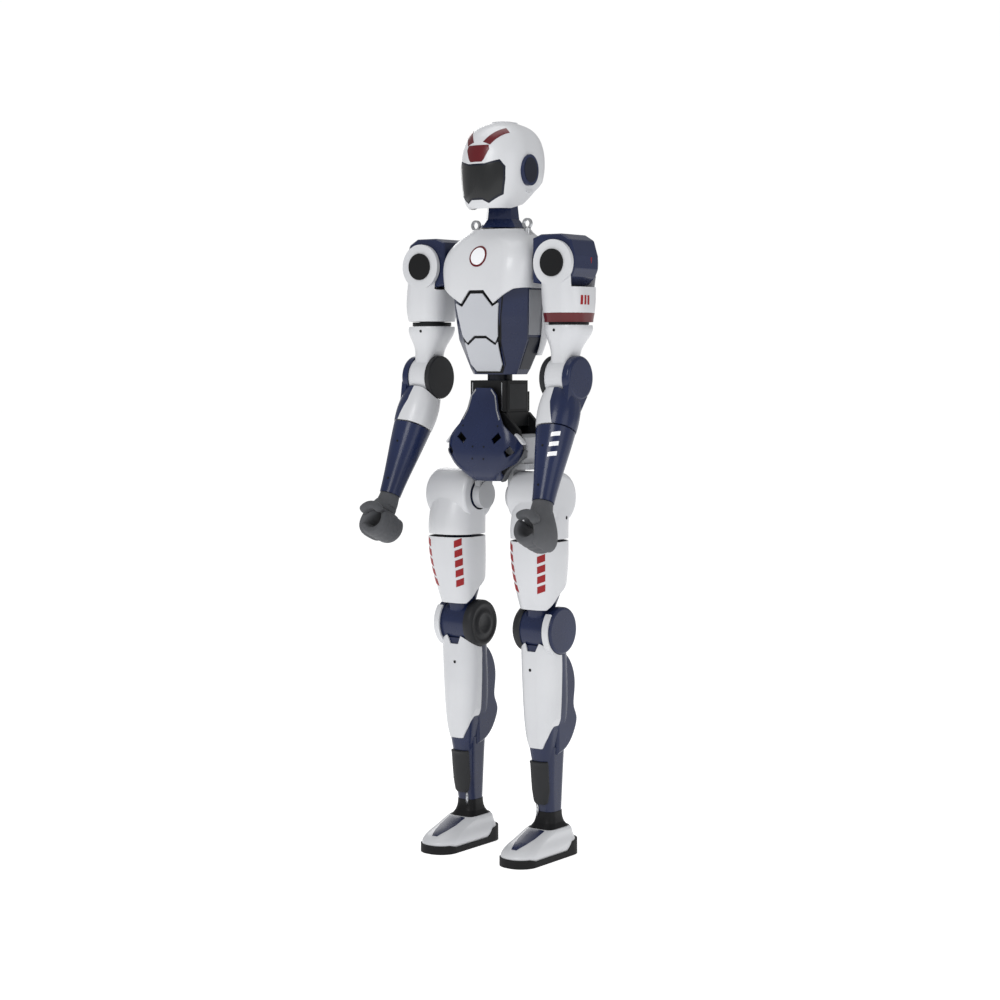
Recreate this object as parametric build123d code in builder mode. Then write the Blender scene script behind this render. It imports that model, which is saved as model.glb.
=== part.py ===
"""Full-size humanoid robot: a helmeted head on a neck, a torso in white and blue shells, two arms with
gripping hands, a pelvis, and two legs with ankles and shod feet.

The robot faces -Y and its left side is +X. Every piece is drawn about the body plane (Y = 0 through the
shoulders, waist and hips) and is moved back by ORIGIN_SHIFT when it is written, which puts the origin on the
floor under the middle of the robot's outline. Left-hand pieces are drawn, and right-hand pieces are their
mirror images.
"""

import os

from build123d import *

# ---- driving dimensions, in millimetres ----
ORIGIN_SHIFT = 58.0  # the body plane lies this far behind the middle of the outline
WALL = 4.0  # moulded shell wall
FIT = 0.05  # radial clearance of a running pin

# joint centres (x, y, z)
ANKLE = (116.0, 39.0, 78.0)
KNEE = (116.0, 18.0, 537.0)
HIP_PITCH = (120.0, 0.0, 845.0)
HIP_YAW_X = 66.0
HIP_ROLL = (66.0, 0.0, 958.0)
WAIST_TOP_Z = 1114.0
SHOULDER = (190.0, 0.0, 1380.0)
ARM_YAW = (198.0, -5.0, 1246.0)
ELBOW = (197.0, -18.0, 1120.0)
NECK_Y = 10.0
HEAD_PITCH_Z = 1562.0
HEAD_TOP_Z = 1710.0

# rest pose of the forearm: bent forward, and carried a little outward
ELBOW_BEND = 23.4
CARRY_ANGLE = 4.5
HAND_RAISE = 6.0  # the hand is drawn this much further along the forearm than it sits
WRIST_DROP = 326.0  # elbow axis to wrist axis, in the hand's own drawing

# joint hardware radii
WAIST_PIN_R = 29.0
NECK_PIN_R = 24.0
SHOULDER_PIN_R = 24.0
ROLL_PIN_R = 20.0
ROLL_EAR_R = 52.0
ROLL_EAR_BACK_R = 44.0
ARM_YAW_PIN_R = 30.0
ELBOW_PIN_R = 14.0
ELBOW_DRUM_R = 47.0
ELBOW_CAP_R = 51.0
FOREARM_PIN_R = 20.0
HIP_ROLL_PIN_R = 14.0
HIP_YAW_PIN_R = 12.0
HIP_PIN_R = 18.0
HIP_DOME_R = 60.0
KNEE_PIN_R = 16.0
KNEE_DRUM_R = 53.0
KNEE_CAP_R = 55.0
ANKLE_PIN_R = 7.0
GRIP_R = 17.0  # the tunnel inside the closed hand

BEND_FRAME = Location(ELBOW) * Location((0, 0, 0), (-ELBOW_BEND, 0, 0))
FOREARM_FRAME = BEND_FRAME * Location((0, 0, 0), (0, -CARRY_ANGLE, 0))
HAND_FRAME = FOREARM_FRAME * Location((0, 0, HAND_RAISE))

os.makedirs("parts", exist_ok=True)


# ---- shapes that repeat ----
def body_through(stations, inset=0.0):
    """A smooth solid through level rounded rectangles.

    Each station is (z, centre x, centre y, width, depth, corner radius).

    The inset draws every outline inwards, which gives the inside face of a shell.
    """
    with BuildPart() as body:
        for z, x, y, width, depth, corner in stations:
            across = width - 2 * inset
            deep = depth - 2 * inset
            with BuildSketch(Plane.XY.offset(z)):
                with Locations((x, y)):
                    RectangleRounded(across, deep, min(max(corner - inset, 3.0), 0.49 * min(across, deep)))
        loft()
    return body.part


def facets_through(stations, inset=0.0):
    """A flat-sided solid through level eight-cornered outlines centred on X = 0.

    Each station is (z, half width, front y, back y, half width of the front flat, front y of the side flat,
    back y of the side flat).
    """
    with BuildPart() as body:
        for z, half, front, back, flat, side_front, side_back in stations:
            right = [
                (flat - 0.4 * inset, front + inset),
                (half - inset, side_front + 0.4 * inset),
                (half - inset, side_back - 0.4 * inset),
                (flat - 0.4 * inset, back - inset),
            ]
            left = [(-x, y) for x, y in reversed(right)]
            with BuildSketch(Plane.XY.offset(z)):
                with BuildLine():
                    Polyline(*(right + left), close=True)
                make_face()
        loft(ruled=True)
    return body.part


def drum_x(radius, x_from, x_to, y, z):
    """A cylinder along X."""
    with BuildPart() as drum:
        with BuildSketch(Plane.YZ.offset(x_from)):
            with Locations((y, z)):
                Circle(radius)
        extrude(amount=x_to - x_from)
    return drum.part


def drum_y(radius, y_from, y_to, x, z):
    """A cylinder along Y."""
    with BuildPart() as drum:
        with BuildSketch(Plane.XZ.offset(-y_from)):
            with Locations((x, z)):
                Circle(radius)
        extrude(amount=y_from - y_to)
    return drum.part


def drum_z(radius, z_from, z_to, x=0.0, y=0.0):
    """A cylinder along Z."""
    with BuildPart() as drum:
        with BuildSketch(Plane.XY.offset(z_from)):
            with Locations((x, y)):
                Circle(radius)
        extrude(amount=z_to - z_from)
    return drum.part


def block(x_from, x_to, y_from, y_to, z_from, z_to, edge=0.0):
    """A box between two corners, with its long edges rounded when an edge radius is given."""
    with BuildPart() as box:
        with BuildSketch(Plane.XY.offset(z_from)):
            with Locations(((x_from + x_to) / 2, (y_from + y_to) / 2)):
                if edge > 0:
                    RectangleRounded(x_to - x_from, y_to - y_from, edge)
                else:
                    Rectangle(x_to - x_from, y_to - y_from)
        extrude(amount=z_to - z_from)
    return box.part


def prism_y(points, y_from, y_to):
    """An outline in the XZ plane, given as (x, z) points, carried along Y."""
    with BuildPart() as prism:
        with BuildSketch(Plane.XZ.offset(-y_from)):
            with BuildLine():
                Polyline(*points, close=True)
            make_face()
        extrude(amount=y_from - y_to)
    return prism.part


def prism_x(points, x_from, x_to):
    """An outline in the YZ plane, given as (y, z) points, carried along X."""
    with BuildPart() as prism:
        with BuildSketch(Plane.YZ.offset(x_from)):
            with BuildLine():
                Polyline(*points, close=True)
            make_face()
        extrude(amount=x_to - x_from)
    return prism.part


def cap_x(radius, x_from, x_to, y, z, edge):
    """A disc along X from x_from to x_to, whose rim at x_to is rounded by edge."""
    with BuildPart() as cap:
        with BuildSketch(Plane.YZ.offset(x_from)):
            with Locations((y, z)):
                Circle(radius)
        extrude(amount=x_to - x_from)
        rims = cap.edges().filter_by(GeomType.CIRCLE).sort_by(Axis.X)
        fillet(rims[-1] if x_to > x_from else rims[0], edge)
    return cap.part


def mirrored_outline(half):
    """A closed symmetric outline from the points of its right half."""
    return half + [(-x, z) for x, z in reversed(half)]


def save(part, name):
    """Writes one piece, moved so that the origin is under the middle of the outline."""
    placed = part.moved(Location((0, ORIGIN_SHIFT, 0)))
    placed.label = name
    export_step(placed, f"parts/{name}.step")


def save_pair(part, name):
    """Writes a left-hand piece and its mirror image."""
    save(part, f"left_{name}")
    save(mirror(part, about=Plane.YZ), f"right_{name}")


# ---- torso ----
TORSO = [
    (1128, 0, 0.0, 140, 86, 20),
    (1165, 0, -2.0, 180, 116, 30),
    (1205, 0, -3.5, 208, 143, 38),
    (1262, 0, -3.5, 219, 167, 44),
    (1325, 0, -3.5, 232, 179, 50),
    (1385, 0, 0.0, 247, 176, 54),
    (1430, 0, 4.0, 208, 148, 54),
    (1462, 0, 8.0, 138, 112, 50),
]
ABDOMEN = [
    (1128, 62, -38, 38, 44, -20, 22),
    (1142, 69, -42, 42, 45, -22, 26),
    (1208, 98, -69, 60, 52, -28, 33),
    (1262, 103, -81, 72, 57, -34, 38),
    (1345, 109, -87, 76, 60, -40, 42),
]  # a flat-sided form just inside the torso's outer form
CHEST_BACK_Y = 18.0  # the chest shell ends and the back cover begins
CHEST_HEM = [(21, 1321), (46, 1291), (96, 1323), (150, 1333)]  # lower edge, from the middle to the flank
UPPER_PANEL = [(17, 1313), (43, 1283), (61, 1292), (50, 1216), (40, 1201), (17, 1217)]
LOWER_PANEL = [(15, 1211), (39, 1195), (47, 1203), (45, 1152), (33, 1135)]
BACKPACK = [
    (1190, 0, 62, 120, 60, 24),
    (1215, 0, 62, 156, 84, 30),
    (1300, 0, 62, 172, 92, 34),
    (1380, 0, 62, 166, 88, 34),
    (1418, 0, 58, 122, 62, 26),
]
EYE_X, EYE_Y = 74.0, 6.0
EYE_SEAT_Z = 1440.0
EYE_RING_Z = 1475.0


def eye_holes(radius):
    """The holes in the shells through which the two lifting eyes stand."""
    return drum_z(radius, 1400, 1500, EYE_X, EYE_Y) + drum_z(radius, 1400, 1500, -EYE_X, EYE_Y)


def chest_and_back_openings():
    """Everything cut from the upper shells: shoulder holes, neck hole and eye bolt holes."""
    return drum_x(43, -140, 140, 0, SHOULDER[2]) + drum_z(35, 1400, 1500, 0, NECK_Y) + eye_holes(8.6)


torso_outer = body_through(TORSO)
torso_inner = body_through(TORSO, WALL)

with BuildPart() as chest_shell:
    add(torso_outer)
    add(torso_inner, mode=Mode.SUBTRACT)
    hem = [(150, 1480), (-150, 1480)] + [(-x, z) for x, z in reversed(CHEST_HEM)] + CHEST_HEM
    add(prism_y(hem, -150, CHEST_BACK_Y), mode=Mode.INTERSECT)
    add(chest_and_back_openings(), mode=Mode.SUBTRACT)
save(chest_shell.part, "chest_shell")

with BuildPart() as abdomen_shell:
    add(facets_through(ABDOMEN))
    add(facets_through(ABDOMEN, WALL), mode=Mode.SUBTRACT)
    add(drum_x(43, -140, 140, 0, SHOULDER[2]), mode=Mode.SUBTRACT)
save(abdomen_shell.part, "abdomen_shell")

with BuildPart() as abdomen_panels:
    add(torso_outer)
    add(torso_inner, mode=Mode.SUBTRACT)
    upper = prism_y(mirrored_outline(UPPER_PANEL), -150, -20)
    lower = prism_y(mirrored_outline(LOWER_PANEL), -150, -20)
    add(upper + lower, mode=Mode.INTERSECT)
save(abdomen_panels.part, "abdomen_panels")

with BuildPart() as back_cover:
    add(torso_outer)
    add(body_through(BACKPACK))
    add(torso_inner, mode=Mode.SUBTRACT)
    add(block(-160, 160, CHEST_BACK_Y + 3, 160, 1172, 1480), mode=Mode.INTERSECT)
    add(chest_and_back_openings(), mode=Mode.SUBTRACT)
save(back_cover.part, "back_cover")

with BuildPart() as torso_frame:
    add(block(-42, 42, -24, 24, 1132, 1190, 8))
    add(block(-60, 60, -44, 42, 1186, 1280, 12))
    add(block(-80, 80, -54, 54, 1278, 1424, 16))
    add(drum_x(40, -125, 125, 0, SHOULDER[2]))
    add(block(-84, 84, -26, 44, 1420, EYE_SEAT_Z, 10))
    add(drum_z(WAIST_PIN_R, 1084, 1140))
    add(drum_z(31, EYE_SEAT_Z - 10, 1460, 0, NECK_Y))
    add(drum_z(NECK_PIN_R + FIT, 1425, 1500, 0, NECK_Y), mode=Mode.SUBTRACT)
    add(drum_x(SHOULDER_PIN_R + FIT, 90, 130, 0, SHOULDER[2]), mode=Mode.SUBTRACT)
    add(drum_x(SHOULDER_PIN_R + FIT, -130, -90, 0, SHOULDER[2]), mode=Mode.SUBTRACT)
save(torso_frame.part, "torso_frame")

with BuildPart() as lifting_eye:
    add(drum_z(8, EYE_SEAT_Z, 1464, EYE_X, EYE_Y))
    add(drum_z(5, 1463, 1466, EYE_X, EYE_Y))
    add(drum_y(12.5, EYE_Y - 3.5, EYE_Y + 3.5, EYE_X, EYE_RING_Z))
    add(drum_y(8, EYE_Y - 10, EYE_Y + 10, EYE_X, EYE_RING_Z), mode=Mode.SUBTRACT)
save_pair(lifting_eye.part, "lifting_eye")

# ---- neck and head ----
HELMET = [
    (1507, 0, -10, 104, 142, 50),
    (1530, 0, -3, 134, 172, 60),
    (1562, 0, 6, 156, 196, 74),
    (1600, 0, 11, 168, 209, 82),
    (1640, 0, 13, 165, 204, 81),
    (1674, 0, 15, 143, 177, 70),
    (1697, 0, 17, 99, 124, 48),
    (1706, 0, 18, 58, 74, 28),
]
HELMET_HEM = [
    (-120, 1500),
    (-120, 1506),
    (-30, 1509),
    (6, 1519),
    (34, 1549),
    (66, 1570),
    (130, 1586),
    (130, 1500),
]
# the visor's outline on the face, from the top middle to the chin: (x, z)
VISOR = [(22, 1608), (54, 1617), (64, 1601), (63, 1573), (58, 1538), (29, 1518), (15, 1526)]
VISOR_BACK_Y = -12.0

with BuildPart() as neck_column:
    with BuildSketch(Plane.XY.offset(1466)):
        with Locations((0, NECK_Y)):
            RegularPolygon(56, 8, rotation=22.5)
    with BuildSketch(Plane.XY.offset(1486)):
        with Locations((0, NECK_Y)):
            RegularPolygon(40, 8, rotation=22.5)
    with BuildSketch(Plane.XY.offset(1538)):
        with Locations((0, NECK_Y)):
            RegularPolygon(34, 8, rotation=22.5)
    loft(ruled=True)
    add(drum_z(NECK_PIN_R, 1430, 1470, 0, NECK_Y))
    add(block(-22, 22, NECK_Y - 16, NECK_Y + 16, 1530, HEAD_PITCH_Z))
    add(drum_x(16, -22, 22, NECK_Y, HEAD_PITCH_Z))
    add(drum_x(8 + FIT, -30, 30, NECK_Y, HEAD_PITCH_Z), mode=Mode.SUBTRACT)
save(neck_column.part, "neck_column")

helmet_outer = body_through(HELMET)
helmet_inner = body_through(HELMET, WALL)
visor_cut = prism_y(mirrored_outline(VISOR), -140, VISOR_BACK_Y)

with BuildPart() as helmet_shell:
    add(helmet_outer)
    add(helmet_inner, mode=Mode.SUBTRACT)
    add(block(-24, 24, -13, 49, 1701, HEAD_TOP_Z, 20))
    add(visor_cut, mode=Mode.SUBTRACT)
    add(prism_x(HELMET_HEM, -120, 120), mode=Mode.SUBTRACT)
    for side in (-1, 1):
        add(drum_x(17, side * 24, side * 76, NECK_Y, HEAD_PITCH_Z))
        add(drum_x(8, side * 2, side * 24, NECK_Y, HEAD_PITCH_Z))
save(helmet_shell.part, "helmet_shell")

with BuildPart() as visor:
    add(body_through(HELMET, 1.2))
    add(body_through(HELMET, WALL), mode=Mode.SUBTRACT)
    add(visor_cut, mode=Mode.INTERSECT)
save(visor.part, "visor")

with BuildPart() as ear_caps:
    for side in (-1, 1):
        with BuildSketch(Plane.YZ.offset(side * 70)):
            with Locations((0, 1596)):
                Ellipse(31, 35.5)
        extrude(amount=side * 18)
    add(helmet_outer, mode=Mode.SUBTRACT)
save(ear_caps.part, "ear_caps")

# ---- shoulder and upper arm ----
POD = [
    (127, 1337),
    (127, 1436),
    (150, 1445),
    (208, 1445),
    (232, 1431),
    (243, 1396),
    (243, 1366),
    (235, 1348),
    (214, 1330),
    (172, 1329),
]  # every corner that faces the upper arm stays inside its round pocket
UPPER_ARM = [
    (1252, 198, -5, 100, 100, 38),
    (1272, 198, -5, 107, 107, 40),
    (1315, 196, -3, 108, 116, 40),
    (1352, 193, 0, 104, 122, 36),
]
ELBOW_HOUSING = [
    (1142, 197, -17, 50, 66, 12),
    (1170, 197, -16, 50, 66, 16),
    (1190, 197, -13, 66, 74, 28),
    (1214, 198, -8, 92, 92, 38),
    (1240, 198, -5, 100, 100, 40),
]
ELBOW_DRUM_HALF = 25.0

with BuildPart() as shoulder_pod:
    with BuildSketch(Plane.XZ.offset(48.5)) as pod_outline:
        with BuildLine():
            Polyline(*POD, close=True)
        make_face()
        fillet(pod_outline.vertices().sort_by(Axis.X)[2:], 8)
    extrude(amount=-97)
    ends = shoulder_pod.faces().sort_by(Axis.Y)
    chamfer(ends[0].edges() + ends[-1].edges(), 3)
    add(drum_x(SHOULDER_PIN_R, 96, 130, 0, SHOULDER[2]))
    add(drum_y(ROLL_PIN_R + FIT, -60, 60, SHOULDER[0], SHOULDER[2]), mode=Mode.SUBTRACT)
save_pair(shoulder_pod.part, "shoulder_pod")

with BuildPart() as shoulder_roll_caps:
    for side in (-1, 1):
        add(drum_y(31, side * 61, side * 65, SHOULDER[0], SHOULDER[2]))
        add(drum_y(ROLL_PIN_R, side * 2, side * 61, SHOULDER[0], SHOULDER[2]))
    add(drum_y(ROLL_PIN_R - 4, -4, 4, SHOULDER[0], SHOULDER[2]))
save_pair(shoulder_roll_caps.part, "shoulder_roll_caps")

with BuildPart() as upper_arm_shell:
    add(body_through(UPPER_ARM))
    add(drum_y(ROLL_EAR_R, -61, 0, SHOULDER[0], SHOULDER[2]))
    add(drum_y(ROLL_EAR_BACK_R, 0, 61, SHOULDER[0], SHOULDER[2]))
    add(block(120, 260, -50.5, 50.5, 1326, 1440), mode=Mode.SUBTRACT)
    add(drum_y(58, -50.5, 50.5, SHOULDER[0], SHOULDER[2]), mode=Mode.SUBTRACT)
    add(drum_y(ROLL_PIN_R + 0.2, -80, 80, SHOULDER[0], SHOULDER[2]), mode=Mode.SUBTRACT)
    add(drum_z(ARM_YAW_PIN_R + FIT, 1240, 1284, ARM_YAW[0], ARM_YAW[1]), mode=Mode.SUBTRACT)
save_pair(upper_arm_shell.part, "upper_arm_shell")

with BuildPart() as elbow_housing:
    add(body_through(ELBOW_HOUSING))
    add(drum_z(44, 1240, 1250, ARM_YAW[0], ARM_YAW[1]))
    add(drum_z(ARM_YAW_PIN_R, 1250, 1282, ARM_YAW[0], ARM_YAW[1]))
    add(drum_x(ELBOW_DRUM_R, ELBOW[0] - ELBOW_DRUM_HALF, ELBOW[0] + ELBOW_DRUM_HALF, ELBOW[1], ELBOW[2]))
    add(drum_x(ELBOW_PIN_R + FIT, 150, 250, ELBOW[1], ELBOW[2]), mode=Mode.SUBTRACT)
save_pair(elbow_housing.part, "elbow_housing")

# ---- forearm ----
# drawn with the elbow axis at the origin and the forearm hanging along -Z
CUFF = [
    (-126, 0, 0, 90, 88, 40),
    (-100, 0, 0, 95, 92, 42),
    (-66, 0, 0, 90, 88, 38),
    (-38, 0, 0, 78, 78, 34),
]
FOREARM = [
    (-300, 0, 0, 50, 50, 24),
    (-245, 0, 0, 60, 60, 28),
    (-185, 0, 0, 76, 74, 35),
    (-129, 0, 0, 88, 86, 40),
]
TEARDROP = [(-40, -28), (40, -28), (24, -88), (12, -100), (-12, -100), (-24, -88)]
OUTER_HALF = [(2, -20), (2, -75), (16, -130), (90, -130), (90, -20)]  # the forearm's outer, blue side: (x, z)

elbow_clearance = drum_x(53, 100, 300, ELBOW[1], ELBOW[2])
cuff_form = body_through(CUFF).moved(FOREARM_FRAME) - elbow_clearance
cuff_form -= drum_z(FOREARM_PIN_R + FIT, -130, -92).moved(FOREARM_FRAME)

with BuildPart() as elbow_cap:
    add(cap_x(ELBOW_CAP_R, ELBOW[0] - 26, ELBOW[0] - 38, ELBOW[1], ELBOW[2], 4))
    add(drum_x(ELBOW_PIN_R, ELBOW[0] - 28, ELBOW[0], ELBOW[1], ELBOW[2]))
save_pair(elbow_cap.part, "elbow_cap")

with BuildPart() as elbow_bracket:
    strap = prism_x(TEARDROP, 30, 44).moved(BEND_FRAME)
    add(cap_x(ELBOW_CAP_R, ELBOW[0] + 26, ELBOW[0] + 45, ELBOW[1], ELBOW[2], 8))
    add(strap & drum_x(120, ELBOW[0] + 30, ELBOW[0] + 44, ELBOW[1], ELBOW[2]))
    add(cuff_form & prism_y(OUTER_HALF, -80, 80).moved(FOREARM_FRAME))
    add(drum_x(ELBOW_PIN_R, ELBOW[0], ELBOW[0] + 28, ELBOW[1], ELBOW[2]))
save_pair(elbow_bracket.part, "elbow_bracket")

with BuildPart() as forearm_cuff:
    add(cuff_form)
    add(elbow_bracket.part, mode=Mode.SUBTRACT)
save_pair(forearm_cuff.part, "forearm_cuff")

with BuildPart() as forearm_shell:
    add(body_through(FOREARM))
    add(drum_z(FOREARM_PIN_R, -132, -94))
save_pair(forearm_shell.part.moved(FOREARM_FRAME), "forearm_shell")

# ---- hand ----
# the grip tunnel runs along Y, beside the palm; the fingers close under it and up its inner side
GRIP_X, GRIP_Z = -6.0, -378.0
KNUCKLE = (19.0, -404.0)
THUMB_PIVOT = (16.0, -347.0)
FINGER_WIDTH = 18.5
FINGER_STEP = 20.5
FINGER_THICKNESS = 19.0
PALM = [(-20, -345), (27, -345), (33, -356), (33, -384), (28, -393), (13, -388), (11, -360), (-20, -360)]


def arc_band(inner, outer, start, sweep, y_from, y_to):
    """Part of a ring about the grip tunnel, from the start angle through the sweep, between two depths."""
    with BuildPart() as band:
        with BuildSketch(Plane.XZ.offset(-y_from)):
            with BuildLine():
                near = CenterArc((GRIP_X, GRIP_Z), inner, start, sweep)
                far = CenterArc((GRIP_X, GRIP_Z), outer, start, sweep)
                Line(near @ 0, far @ 0)
                Line(near @ 1, far @ 1)
            make_face()
        extrude(amount=y_from - y_to)
    return band.part


with BuildPart() as wrist_joint:
    add(drum_z(22, -311, -306))
    add(block(-13, 13, -14, 14, -WRIST_DROP, -309))
    add(drum_y(14, -14, 14, 0, -WRIST_DROP))
    add(drum_y(5 + FIT, -30, 30, 0, -WRIST_DROP), mode=Mode.SUBTRACT)
save_pair(wrist_joint.part.moved(HAND_FRAME), "wrist_joint")

with BuildPart() as hand_palm:
    add(prism_y(PALM, -40, 40))
    for side in (-1, 1):
        add(block(-14, 14, min(side * 15, side * 25), max(side * 15, side * 25), -350, -WRIST_DROP))
        add(drum_y(14, side * 15, side * 25, 0, -WRIST_DROP))
        add(drum_y(5, side * 2, side * 15, 0, -WRIST_DROP))
    add(drum_y(GRIP_R + 1.5, -60, 60, GRIP_X, GRIP_Z), mode=Mode.SUBTRACT)
save_pair(hand_palm.part.moved(HAND_FRAME), "hand_palm")

with BuildPart() as hand_fingers:
    for finger in range(4):
        y_from = (finger - 1.5) * FINGER_STEP - FINGER_WIDTH / 2
        add(arc_band(GRIP_R + 1, GRIP_R + FINGER_THICKNESS, -44, -172, y_from, y_from + FINGER_WIDTH))
        add(drum_y(10, y_from, y_from + FINGER_WIDTH, KNUCKLE[0], KNUCKLE[1]))
    add(drum_y(6, -39, 39, KNUCKLE[0], KNUCKLE[1]))
    add(drum_y(6, -39, 39, GRIP_X, GRIP_Z - GRIP_R - 9))
save_pair(hand_fingers.part.moved(HAND_FRAME), "hand_fingers")

with BuildPart() as hand_thumb:
    add(arc_band(GRIP_R + 1, GRIP_R + 17, 60, 116, -61, -42))
    add(drum_y(11, -61, -42, THUMB_PIVOT[0], THUMB_PIVOT[1]))
    add(block(-2, 16, -61, -42, -358, -340))
    add(drum_y(GRIP_R + 1, -70, -30, GRIP_X, GRIP_Z), mode=Mode.SUBTRACT)
save_pair(hand_thumb.part.moved(HAND_FRAME), "hand_thumb")

# ---- pelvis ----
PELVIS_BELL = [
    (878, 0, -12, 84, 82, 24),
    (925, 0, -16, 178, 138, 34),
    (960, 0, -12, 212, 146, 40),
    (1005, 0, -10, 190, 136, 38),
    (1055, 0, -8, 140, 120, 30),
    (1100, 0, -8, 116, 112, 24),
]
COVER_OUTLINE = [
    (22, 1097),
    (36, 1082),
    (44, 1048),
    (62, 1014),
    (92, 986),
    (110, 968),
    (107, 936),
    (56, 906),
    (42, 882),
]
COVER_DEPTH = [(-120, 1110), (-53.5, 1110), (-53.5, 926), (-42, 918), (-42, 870), (-120, 870)]  # (y, z)
# slots in the cover, for the right half: four corners (x, z) each
INNER_SLOT = [(44, 968), (36, 980), (54, 996), (64, 984)]
OUTER_SLOT = [(78, 938), (72, 952), (86, 966), (95, 950)]

with BuildPart() as pelvis_cover:
    add(body_through(PELVIS_BELL))
    add(body_through(PELVIS_BELL, WALL), mode=Mode.SUBTRACT)
    add(prism_y(mirrored_outline(COVER_OUTLINE), -120, -42), mode=Mode.INTERSECT)
    add(prism_x(COVER_DEPTH, -120, 120), mode=Mode.INTERSECT)
    for slot in (INNER_SLOT, OUTER_SLOT):
        add(prism_y(slot, -120, -50), mode=Mode.SUBTRACT)
        add(prism_y([(-x, z) for x, z in slot], -120, -50), mode=Mode.SUBTRACT)
save(pelvis_cover.part, "pelvis_cover")

with BuildPart() as waist_housing:
    add(block(-53, 53, -50, 44, 1042, WAIST_TOP_Z, 10))
    add(block(-46, 46, 40, 58, 1042, 1088, 6))
    add(drum_z(WAIST_PIN_R + FIT, 1080, 1120), mode=Mode.SUBTRACT)
save(waist_housing.part, "waist_housing")

with BuildPart() as pelvis_frame:
    add(block(-28, 28, -44, 44, 931, 1042))
    add(block(-52, 52, -44, 44, 1008, 1042))
    ear = [(50, 1040), (92, 1000), (100, 958), (84, 931), (28, 926)]
    for side in (-1, 1):
        add(prism_y(mirrored_outline(ear), side * 42, side * 52))
    for side in (-1, 1):
        add(drum_y(HIP_ROLL_PIN_R + FIT, -70, 70, side * HIP_ROLL[0], HIP_ROLL[2]), mode=Mode.SUBTRACT)
save(pelvis_frame.part, "pelvis_frame")

# ---- hip ----
with BuildPart() as hip_roll_link:
    add(drum_y(32, -41, 41, HIP_ROLL[0], HIP_ROLL[2]))
    add(block(44, 88, -27, 27, 924, 958))
    add(block(66, 106, -39, 34, 936, 984, 6))
    add(drum_y(HIP_ROLL_PIN_R, -51, 51, HIP_ROLL[0], HIP_ROLL[2]))
    add(drum_z(HIP_YAW_PIN_R + FIT, 920, 950, HIP_YAW_X, 0), mode=Mode.SUBTRACT)
save_pair(hip_roll_link.part, "hip_roll_link")

with BuildPart() as hip_yaw_link:
    add(block(38, 100, -26, 26, 909, 923, 8))
    add(block(40, 56, -24, 24, 845, 915))
    add(drum_x(32, 38, 57, 0, HIP_PITCH[2]))
    add(drum_x(HIP_PIN_R, 57, 108, 0, HIP_PITCH[2]))
    add(drum_z(HIP_YAW_PIN_R, 923, 948, HIP_YAW_X, 0))
save_pair(hip_yaw_link.part, "hip_yaw_link")

# ---- thigh ----
THIGH_UPPER = [
    (752, 120, -9, 124, 128, 52),
    (790, 120, -8, 124, 128, 52),
    (825, 120, -3, 122, 120, 50),
    (850, 120, 0, 118, 112, 46),
]
THIGH_LOWER = [
    (587, 116, 8, 92, 92, 34),
    (630, 117, 1, 106, 108, 42),
    (690, 119, -6, 121, 124, 50),
    (746, 120, -9, 124, 128, 52),
]
THIGH_TO_KNEE = [
    (560, 116, 6, 62, 66, 20),
    (597, 116, 4, 62, 66, 22),
    (614, 117, 3, 76, 72, 26),
    (640, 118, 0, 88, 82, 30),
    (685, 119, -5, 106, 106, 40),
]
THIGH_HEM = [(-100, 586), (-28, 586), (-2, 618), (36, 648), (100, 676), (100, 540), (-100, 540)]

with BuildPart() as thigh_shell_upper:
    add(body_through(THIGH_UPPER))
    add(cap_x(HIP_DOME_R, 120, 181, 0, HIP_PITCH[2], 14))
    add(cap_x(HIP_DOME_R, 120, 60, 0, HIP_PITCH[2], 8))
    add(body_through(THIGH_UPPER, WALL), mode=Mode.SUBTRACT)
    add(drum_x(HIP_DOME_R - 2 * WALL, 70, 169, 0, HIP_PITCH[2]), mode=Mode.SUBTRACT)
    add(drum_x(36, 50, 75, 0, HIP_PITCH[2]), mode=Mode.SUBTRACT)
save_pair(thigh_shell_upper.part, "thigh_shell_upper")

with BuildPart() as thigh_shell_lower:
    add(body_through(THIGH_LOWER))
    add(body_through(THIGH_LOWER, WALL), mode=Mode.SUBTRACT)
    add(prism_x(THIGH_HEM, 0, 240), mode=Mode.SUBTRACT)
save_pair(thigh_shell_lower.part, "thigh_shell_lower")

with BuildPart() as thigh_link:
    add(drum_x(32, 62, 160, 0, HIP_PITCH[2]))
    add(block(98, 142, -34, 26, 600, 845, 8))
    add(body_through(THIGH_TO_KNEE))
    add(drum_x(KNEE_DRUM_R, KNEE[0] - 32.5, KNEE[0] + 32.5, KNEE[1], KNEE[2]))
    add(drum_x(HIP_PIN_R + FIT, 50, 110, 0, HIP_PITCH[2]), mode=Mode.SUBTRACT)
    add(drum_x(KNEE_PIN_R + FIT, 50, 200, KNEE[1], KNEE[2]), mode=Mode.SUBTRACT)
save_pair(thigh_link.part, "thigh_link")

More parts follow.
